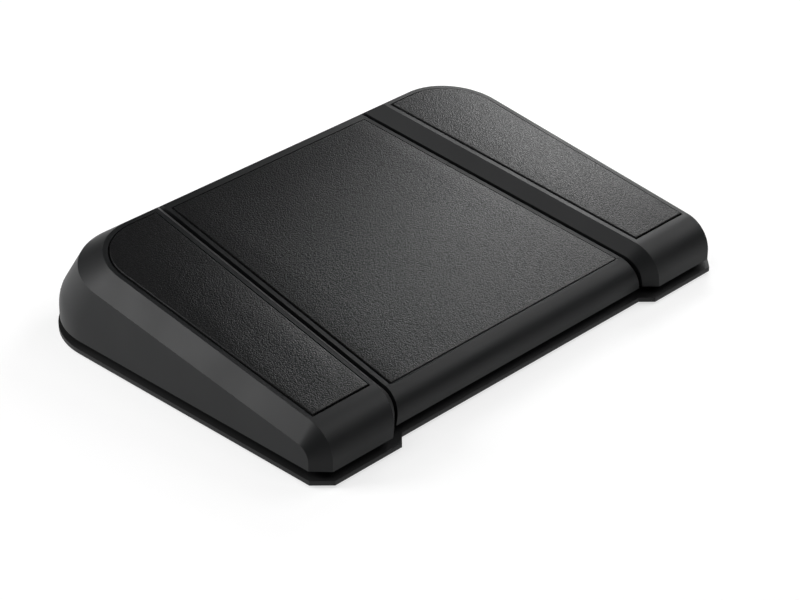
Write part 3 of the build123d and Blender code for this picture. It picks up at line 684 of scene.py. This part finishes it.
def lug(surface, m, x, height_of):
    """A hinge lug: half a circle below the hinge line and a plate above it, both cut by the bore."""
    angle = np.linspace(math.pi, 2 * math.pi, CIRCLE_STEPS // 2)
    centre = np.array([m.hinge_at, m.hinge_high])
    round_end = centre + m.lug_radius * np.stack([np.cos(angle), np.sin(angle)], -1)
    ends = centre[0] + np.array([m.lug_radius, -m.lug_radius])
    across = spread(ends[0], ends[1], np.linspace(0, 1, LUG_STEPS))
    outline = join(round_end, np.stack([across, height_of(across, x + m.lug / 2)], -1))
    away = outline - centre
    hole = centre + m.bore * away / np.linalg.norm(away, axis=1, keepdims=True)

    def at(points, side):
        return join(np.full((len(points), 1), x + side * m.lug / 2), points, axis=1)

    surface.sheet([at(hole, -1), at(outline, -1), at(outline, 1), at(hole, 1), at(hole, -1)], around=True)


def outer_middle(h, p):
    """Distance of an outer pedal's middle from the object's middle."""
    return (h.seam_half + WIDTH / 2 - h.side_inset) / 2 - p.rim


def mouldings(h, m, crown, middle, spacing, side_of):
    """What is moulded under a pedal: ribs along and across, two hinge lugs, bosses and a hook."""
    surface = Surface()
    turn = h.back_ridge - h.top_corner
    corner = h.outer_ridge - OUTER_RIDGE_SPLAY * turn - h.top_corner
    fall = h.back_drop / h.back_run

    def high(d, x):
        past_corner = np.hypot(np.maximum(x - corner, 0), np.maximum(d - turn, 0)) - h.top_corner
        past = np.maximum(np.maximum(d - h.back_ridge, past_corner), 0)
        edge = top_height(np.minimum(d, h.back_ridge), h.outer_crown)
        return np.minimum(top_height(d, crown - m.root), edge - fall * past - m.root * CHAMFER_ROOT)

    def rib_low(d, x):
        return top_height(d, crown - h.wall - m.rib_deep)

    def level(z):
        return lambda d, x: 0 * d + z

    half, thick = spacing / 2, m.rib / 2
    start = m.hook_at - m.hook
    for x in (middle - half, middle + half):
        slab(surface, (x - thick, x + thick), (start, m.hinge_at), rib_low, high)
        lug(surface, m, x, high)
    for d in ((m.stop_at + m.spring_at) / 2, m.spring_at + m.rib_behind,
              m.actuator_at + m.rib_behind):
        slab(surface, side_of(d, high(d, 0)), (d - thick, d + thick), rib_low, high)
    pin_low = m.spring_high - m.spring_pin_deep
    for d, low, radius, top in (
            (m.spring_at, m.spring_high, m.spring_boss, high),
            (m.spring_at, pin_low, m.spring_pin, level(m.spring_high)),
            (m.actuator_at, m.actuator_low, m.actuator, high),
            (m.stop_at, m.stop_low, m.stop, high)):
        boss(surface, middle, d, low, radius, top)
    across = (middle - m.hook_wide / 2, middle + m.hook_wide / 2)
    d, low = m.hook_at, level(m.hook_low)
    slab(surface, across, (d, d + m.hook), low, high)
    slab(surface, across, (d - m.catch, d), low, level(m.hook_low + m.catch_high))
    return surface


def coil(s, middle, d, high):
    """A compression spring: a circle carried along a helix whose pitch is one wire over the first and
    last turn and even between, with a flat face at each end."""
    turn = np.linspace(0, s.turns, round(s.turns * CIRCLE_STEPS / 2))
    climb = high - s.low - s.wire
    closed = s.wire / climb
    share = np.interp(turn, [0, 1, s.turns - 1, s.turns], [0, closed, 1 - closed, 1])
    angle = 2 * math.pi * turn
    outward = np.stack([np.cos(angle), np.sin(angle), 0 * angle], -1)
    path = np.array([middle, d, s.low + s.wire / 2]) + s.coil * outward
    path[:, 2] += climb * share
    wire = np.linspace(0, 2 * math.pi, WIRE_STEPS, endpoint=False)[:, None]
    across = outward[:, None] * np.cos(wire) + np.array([0, 0, 1]) * np.sin(wire)
    rings = path[:, None] + across * (s.wire / 2)
    surface = Surface()
    surface.sheet(rings, around=True)
    surface.face(rings[0])
    surface.face(rings[-1])
    return surface


def soft_copy(name, source, radius):
    """A copy of a CAD node's mesh with whole flat faces, so that its edges can be rounded."""
    mesh = source.data.copy()
    mesh.name = name
    mesh.materials.clear()

    def tidy(work):
        bmesh.ops.remove_doubles(work, verts=work.verts, dist=MERGE / 2)
        bmesh.ops.dissolve_limit(work, angle_limit=FLAT, verts=work.verts, edges=work.edges)

    piece = smooth_piece(name, mesh, tidy)
    soften(piece, radius, PLATE_EDGE)
    return piece


def stand_on(piece, body, cad_node, slot):
    """Gives a piece the finish of a slot and its body, and hides the CAD node that it stands for."""
    piece.data.materials.append(finishes()[slot])
    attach(piece, body)
    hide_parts(cad_node)


def pedal_pieces(name, outer, centre, cad_node, slot):
    """Makes and gives a piece for each pedal; the left one mirrors the right one."""
    for side in ("left", "right", "centre"):
        surface = centre if side == "centre" else outer
        piece = surface.build(name + side, mirror=side == "left")
        stand_on(piece, "pedal_" + side, cad_node + side, slot)
        yield piece


# Finishes

# The materials by slot, once they are made
made = {}


def linear(hex_value):
    """An sRGB hex colour as linear red, green, blue and alpha."""
    srgb = np.array([int(hex_value[i:i + 2], 16) for i in (1, 3, 5)]) / 255
    return tuple(np.where(srgb <= 0.04045, srgb / 12.92, ((srgb + 0.055) / 1.055) ** 2.4)) + (1.0,)


def shade(hex_value, factor):
    """A hex colour made darker or lighter by a factor."""
    parts = [min(255, round(int(hex_value[i:i + 2], 16) * factor)) for i in (1, 3, 5)]
    return "#%02x%02x%02x" % tuple(parts)


class Finish:
    """A material, and what a pattern can do to its surface."""

    def __init__(self, name, hex_value, roughness, metallic=0.0, ior=1.5):
        self.material = bpy.data.materials.new(name)
        self.material.use_nodes = True
        self.tree = self.material.node_tree
        self.hex_value = hex_value
        self.sockets = self.tree.nodes["Principled BSDF"].inputs
        self.sockets["Base Color"].default_value = linear(hex_value)
        self.sockets["Roughness"].default_value = roughness
        self.sockets["Metallic"].default_value = metallic
        if not metallic:
            self.sockets["IOR"].default_value = ior
        self.place = self.node("TexCoord")["Object"]

    def node(self, kind, values=(), links=(), **options):
        """Adds a shader node with its options, socket values and links, and gives its outputs."""
        added = self.tree.nodes.new("ShaderNode" + kind)
        for key, value in options.items():
            setattr(added, key, value)
        for socket, value in dict(values).items():
            added.inputs[socket].default_value = value
        for socket, source in dict(links).items():
            self.tree.links.new(source, added.inputs[socket])
        return added.outputs

    def feed(self, socket, source):
        """Leads a value into one of the shader's sockets."""
        self.tree.links.new(source, self.sockets[socket])

    def lumps(self, size, detail=2.0, stretch=(1, 1, 1)):
        """A pattern of lumps of about a size in metres, shorter where stretch is large."""
        mapped = self.node("Mapping", {"Scale": stretch}, {"Vector": self.place})[0]
        values = {"Scale": 1 / size, "Detail": detail}
        return self.node("TexNoise", values, {"Vector": mapped})["Fac"]

    def follow(self, pattern, shades=(), height=0.0, strength=1.0, limits=()):
        """Lets the surface follow a pattern: its colour between two shades of it, its height in metres, and
        other values of the shader, each by the pattern's two limits and its own two."""
        for socket, ends in dict(limits).items():
            self.feed(socket, self.node("MapRange", zip(RANGE, ends), {"Value": pattern})[0])
        if shades:
            ends = zip("AB", (linear(shade(self.hex_value, factor)) for factor in shades))
            mixed = self.node("Mix", ends, {"Factor": pattern}, data_type="RGBA")
            self.feed("Base Color", mixed["Result"])
        if height:
            values = {"Strength": strength, "Distance": height}
            self.feed("Normal", self.node("Bump", values, {"Height": pattern})[0])


def moulded_abs(name, hex_value, roughness=0.48):
    """ABS from a spark-eroded mould: satin, with a grit too fine to see one by one and faint flow."""
    coat = Finish(name, hex_value, roughness, ior=1.31)
    limits = {"Roughness": (0.3, 0.7, roughness - 0.04, roughness + 0.05)}
    coat.follow(coat.lumps(35 * MM), (0.94, 1.06), limits=limits)
    coat.follow(coat.lumps(0.25 * MM, 3.0), height=0.012 * MM, strength=0.6)
    return coat.material


def grained_rubber(name, hex_value):
    """Rubber from an etched mould: a dense leather grain, pebbles about half a millimetre across, with
    painted shade between them.
    """
    coat = Finish(name, hex_value, 0.55, ior=1.37)
    values = {"Scale": 1 / (0.9 * MM), "Detail": 1.0}
    warp = coat.node("TexNoise", values, {"Vector": coat.place})["Color"]
    moved = coat.node("VectorMath", {"Scale": 0.35 * MM}, {"Vector": warp}, operation="SCALE")
    bent = coat.node("VectorMath", (), {0: coat.place, 1: moved[0]}, operation="ADD")
    cells = coat.node("TexVoronoi", {"Scale": 1 / (0.56 * MM)}, {"Vector": bent[0]},
                      feature="SMOOTH_F1")["Distance"]
    # The middle of a cell stands high and its edge lies low
    ends = zip(RANGE, (0.05, 0.65, 1.0, 0.0))
    pebbles = coat.node("MapRange", ends, {"Value": cells})[0]
    # The low edges of the cells are painted darker and reflect less, as painted shade in the grain's
    # hollows
    limits = {"Roughness": (0.0, 1.0, 0.55, 0.33), "Specular IOR Level": (0.1, 0.9, 0.37, 0.58)}
    coat.follow(pebbles, (0.8, 1.12), 0.1 * MM, limits=limits)
    return coat.material


def powder_coat(name, hex_value):
    """Powder coat on steel: satin, with the low waves of orange peel a millimetre or so across."""
    coat = Finish(name, hex_value, 0.58, ior=1.4)
    coat.follow(coat.lumps(1.3 * MM), height=0.03 * MM, strength=0.5)
    return coat.material


def matt_rubber(name, hex_value):
    """Plain moulded rubber: matt, darker in its pores and lighter on the lumps between them."""
    coat = Finish(name, hex_value, 0.8)
    coat.follow(coat.lumps(0.8 * MM, 3.0), (0.85, 1.25), 0.04 * MM, 0.5)
    return coat.material


def worked_metal(name, hex_value, roughness, stretch=(1, 1, 1)):
    """Plated or ground metal: fine marks of the work, longer one way where it was ground."""
    coat = Finish(name, hex_value, roughness, metallic=1.0)
    limits = {"Roughness": (0.3, 0.7, roughness - 0.08, roughness + 0.1)}
    coat.follow(coat.lumps(0.6 * MM, 4.0, stretch), (0.9, 1.05), 0.01 * MM, 0.4, limits)
    return coat.material


def solder_resist(name, hex_value):
    """Green resist over copper: bands a millimetre wide, where the copper under it shows lighter."""
    coat = Finish(name, hex_value, 0.28, ior=1.55)
    cells = coat.node("TexVoronoi", {"Scale": 1 / (2.4 * MM)}, {"Vector": coat.place},
                      distance="MANHATTAN", feature="F1")["Distance"]
    # The tracks lie where the cells meet
    ends = zip(RANGE, (0.42, 0.5, 0.0, 1.0))
    tracks = coat.node("MapRange", ends, {"Value": cells})[0]
    coat.follow(tracks, (1.0, 1.5), 0.03 * MM, 0.4)
    return coat.material


def moulded_part(name, hex_value, roughness):
    """Small moulded or cast body: plain, with a faint speckle of its filler."""
    coat = Finish(name, hex_value, roughness)
    coat.follow(coat.lumps(0.35 * MM, 3.0), (0.9, 1.1), 0.01 * MM, 0.4)
    return coat.material


def pale_board(s):
    """Pale matt board, lit from behind, so that it looks white round a soft shadow. Its glow is seen
    directly and through gloss and glass, but lights nothing."""
    coat = Finish("pale_board", s.floor, 0.9)
    coat.sockets["Specular IOR Level"].default_value = 0.0
    coat.sockets["Emission Color"].default_value = (1, 1, 1, 1)
    distance = coat.node("VectorMath", (), {0: coat.place}, operation="LENGTH")["Value"]
    ends = zip(RANGE, (s.glow_from, s.glow_to, s.glow, s.far_glow))
    level = coat.node("MapRange", ends, {"Value": distance})[0]
    rays = coat.node("LightPath")
    seen = rays["Is Camera Ray"]
    for ray in ("Is Glossy Ray", "Is Transmission Ray"):
        seen = coat.node("Math", (), {0: seen, 1: rays[ray]}, operation="MAXIMUM")[0]
    glow = coat.node("Math", (), {0: seen, 1: level}, operation="MULTIPLY")[0]
    coat.feed("Emission Strength", glow)
    return coat.material


def finishes():
    """The materials by the record's slots, made on the first call."""
    if made:
        return made
    c, = settings("colours")
    ground = (1, 8, 8)
    made.update(
        pedal_plastic=moulded_abs("satin_moulded_abs", c.housing),
        pad_rubber=grained_rubber("grained_rubber", c.pad),
        plate_steel=powder_coat("powder_coated_steel", c.plate),
        tray_plastic=moulded_abs("matt_moulded_abs", c.tray, 0.6),
        surround_plastic=moulded_abs("surround_abs", c.tray, 0.5),
        foot_rubber=matt_rubber("foot_rubber", c.rubber),
        stop_rubber=matt_rubber("stop_rubber", c.rubber),
        screw_steel=worked_metal("zinc_plated_screw", c.zinc, 0.35),
        bracket_steel=worked_metal("zinc_plated_sheet", c.zinc, 0.4, (1, 3, 1)),
        pin_steel=worked_metal("ground_steel", c.steel, 0.25, ground),
        clip_steel=worked_metal("phosphated_spring_steel", shade(c.steel, 0.45), 0.4),
        spring_steel=worked_metal("drawn_spring_wire", c.steel, 0.3),
        bush_brass=worked_metal("sintered_bronze", c.bronze, 0.45),
        socket_metal=worked_metal("nickel_plated_sheet", c.steel, 0.22),
        circuit_board=solder_resist("green_solder_resist", c.board),
        chip_plastic=moulded_part("moulded_epoxy", c.chip, 0.5),
        component_body=moulded_part("fired_ceramic", c.ceramic, 0.45),
        tongue_plastic=moulded_part("filled_polymer", c.tray, 0.5),
        switch_plastic=moulded_part("glass_filled_nylon", c.switch, 0.5),
        plunger_plastic=moulded_part("natural_acetal", c.plunger, 0.3),
    )
    return made


# Operators

class FOOTSWITCH_OT_node_finishes(Operator):
    """Gives the CAD nodes that stay their finishes"""
    bl_idname = "footswitch.node_finishes"
    bl_label = "Finishes of the inner parts"

    def execute(self, context):
        for part in frame["record"]["subparts"]:
            piece = frame["nodes"][part["node"]]
            piece.data.materials.clear()
            piece.data.materials.append(finishes()[part["material_slot"]])
        return {"FINISHED"}


class FOOTSWITCH_OT_housings(Operator):
    """Builds the three pedal housings"""
    bl_idname = "footswitch.housings"
    bl_label = "Housings"

    def execute(self, context):
        h, p, m = settings("housing", "pads", "mouldings")
        outer, centre = outer_housing(h, p, m), centre_housing(h, p, m)
        for piece in pedal_pieces("housing_", outer, centre, "pedal_shell_", "pedal_plastic"):
            soften(piece, h.edge_round, HOUSING_EDGE)
        return {"FINISHED"}


class FOOTSWITCH_OT_mouldings(Operator):
    """Builds the ribs, lugs, bosses and hooks under the three pedals"""
    bl_idname = "footswitch.mouldings"
    bl_label = "Mouldings under the pedals"

    def execute(self, context):
        h, p, m = settings("housing", "pads", "mouldings")
        skin, middle_skin = Outer(h, h.wall / 2), Centre(h, m, h.wall / 2)
        outer = mouldings(h, m, h.outer_crown, outer_middle(h, p), m.outer_spacing,
                          lambda d, z: (skin.inner(d, z), skin.outer(d, z)))
        centre = mouldings(h, m, h.outer_crown - h.centre_step, 0.0, m.centre_spacing,
                           lambda d, z: (-middle_skin.seam(d, z), middle_skin.seam(d, z)))
        for piece in pedal_pieces("mouldings_", outer, centre, "pedal_shell_", "pedal_plastic"):
            soften(piece, h.edge_round / 2, MOULDING_EDGE)
        return {"FINISHED"}


class FOOTSWITCH_OT_pads(Operator):
    """Builds the three grained pads"""
    bl_idname = "footswitch.pads"
    bl_label = "Pads"

    def execute(self, context):
        h, p, m = settings("housing", "pads", "mouldings")
        skin, middle_skin = Outer(h, 0.0), Centre(h, m, 0.0)
        outer = pad_surface(p, lambda offset: pad_loop(h, p, skin, offset))
        centre = pad_surface(p, lambda offset: centre_loop(h, p, middle_skin, offset))
        for piece in pedal_pieces("pad_", outer, centre, "pedal_pad_", "pad_rubber"):
            piece.data.set_sharp_from_angle(angle=math.radians(PAD_EDGE))
        return {"FINISHED"}


class FOOTSWITCH_OT_springs(Operator):
    """Builds the three return springs of round wire"""
    bl_idname = "footswitch.springs"
    bl_label = "Return springs"

    def execute(self, context):
        h, p, m, s = settings("housing", "pads", "mouldings", "springs")
        middle = outer_middle(h, p)
        for side, x in (("left", -middle), ("centre", 0.0), ("right", middle)):
            piece = coil(s, x, m.spring_at, m.spring_high).build("spring_" + side)
            piece.data.set_sharp_from_angle(angle=math.radians(WIRE_EDGE))
            stand_on(piece, "base", "return_spring_" + side, "spring_steel")
            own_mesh(piece)
        return {"FINISHED"}


class FOOTSWITCH_OT_plate(Operator):
    """Builds the base plate with the soft edges that its coating gives it"""
    bl_idname = "footswitch.plate"
    bl_label = "Base plate"

    def execute(self, context):
        h, = settings("housing")
        piece = soft_copy("coated_plate", frame["nodes"]["base_plate"], h.plate_round)
        stand_on(piece, "base", "base_plate", "plate_steel")
        return {"FINISHED"}


class FOOTSWITCH_OT_stage(Operator):
    """Builds the floor, the lamps, the world and the camera"""
    bl_idname = "footswitch.stage"
    bl_label = "Studio"

    def execute(self, context):
        scene = context.scene
        s, = settings("studio")
        scene.view_settings.view_transform = "Standard"
        mesh = bpy.data.meshes.new("floor")
        edge = s.floor_half
        corners = [(-edge, -edge, 0), (edge, -edge, 0), (edge, edge, 0), (-edge, edge, 0)]
        mesh.from_pydata(corners, [], [(0, 1, 2, 3)])
        mesh.materials.append(pale_board(s))
        placed("floor", mesh)
        scene.world = bpy.data.worlds.new("studio")
        scene.world.use_nodes = True
        background = scene.world.node_tree.nodes["Background"].inputs
        background["Color"].default_value = (1, 1, 1, 1)
        background["Strength"].default_value = s.world
        for name, (place, size) in LAMPS.items():
            self.lamp(name + "_light", getattr(s, name + "_power"), place, size)
        camera = placed("camera", bpy.data.cameras.new("camera"))
        camera.data.lens = s.lens
        camera.data.clip_start = 10 * MM
        camera.location = s.place
        camera.rotation_euler = (s.tilt, 0, s.turn)
        scene.camera = camera
        return {"FINISHED"}

    def lamp(self, name, watts, place, size):
        """A soft rectangular lamp that faces the object."""
        light = bpy.data.lights.new(name, "AREA")
        light.shape = "RECTANGLE"
        light.size, light.size_y = size
        light.energy = watts
        holder = placed(name, light)
        x, y, z = place
        holder.location = place
        holder.rotation_euler = (math.atan2(math.hypot(x, y), z), 0, math.atan2(x, -y))


class FOOTSWITCH_PT_panel(Panel):
    """Lists the steps that build the foot switch"""
    bl_idname = "FOOTSWITCH_PT_panel"
    bl_label = "Foot switch"
    bl_space_type = "VIEW_3D"
    bl_region_type = "UI"
    bl_category = "Foot switch"

    def draw(self, context):
        for step in STEPS:
            self.layout.operator(step.bl_idname)
        for group in GROUPS:
            box = self.layout.box()
            for key in GROUPS[group].__annotations__:
                box.prop(getattr(context.scene, PREFIX + group), key)


STEPS = (FOOTSWITCH_OT_node_finishes, FOOTSWITCH_OT_housings, FOOTSWITCH_OT_mouldings,
         FOOTSWITCH_OT_pads, FOOTSWITCH_OT_springs, FOOTSWITCH_OT_plate, FOOTSWITCH_OT_stage)
GROUPS = {"housing": HousingSizes, "pads": PadSizes, "mouldings": MouldingSizes,
          "springs": SpringSizes, "colours": FinishColours, "studio": StudioSettings}


def register():
    """Registers the settings, the steps and the panel."""
    for group in GROUPS.values():
        bpy.utils.register_class(group)
    for name, group in GROUPS.items():
        setattr(bpy.types.Scene, PREFIX + name, bpy.props.PointerProperty(type=group))
    for step in STEPS + (FOOTSWITCH_PT_panel,):
        bpy.utils.register_class(step)


def unregister():
    """Takes back what register added."""
    for step in (FOOTSWITCH_PT_panel,) + STEPS[::-1]:
        bpy.utils.unregister_class(step)
    for name, group in GROUPS.items():
        delattr(bpy.types.Scene, PREFIX + name)
        bpy.utils.unregister_class(group)


def main():
    """Builds every piece in order."""
    register()
    for step in STEPS:
        group, name = step.bl_idname.split(".")
        getattr(getattr(bpy.ops, group), name)()


if __name__ == "__main__":
    main()
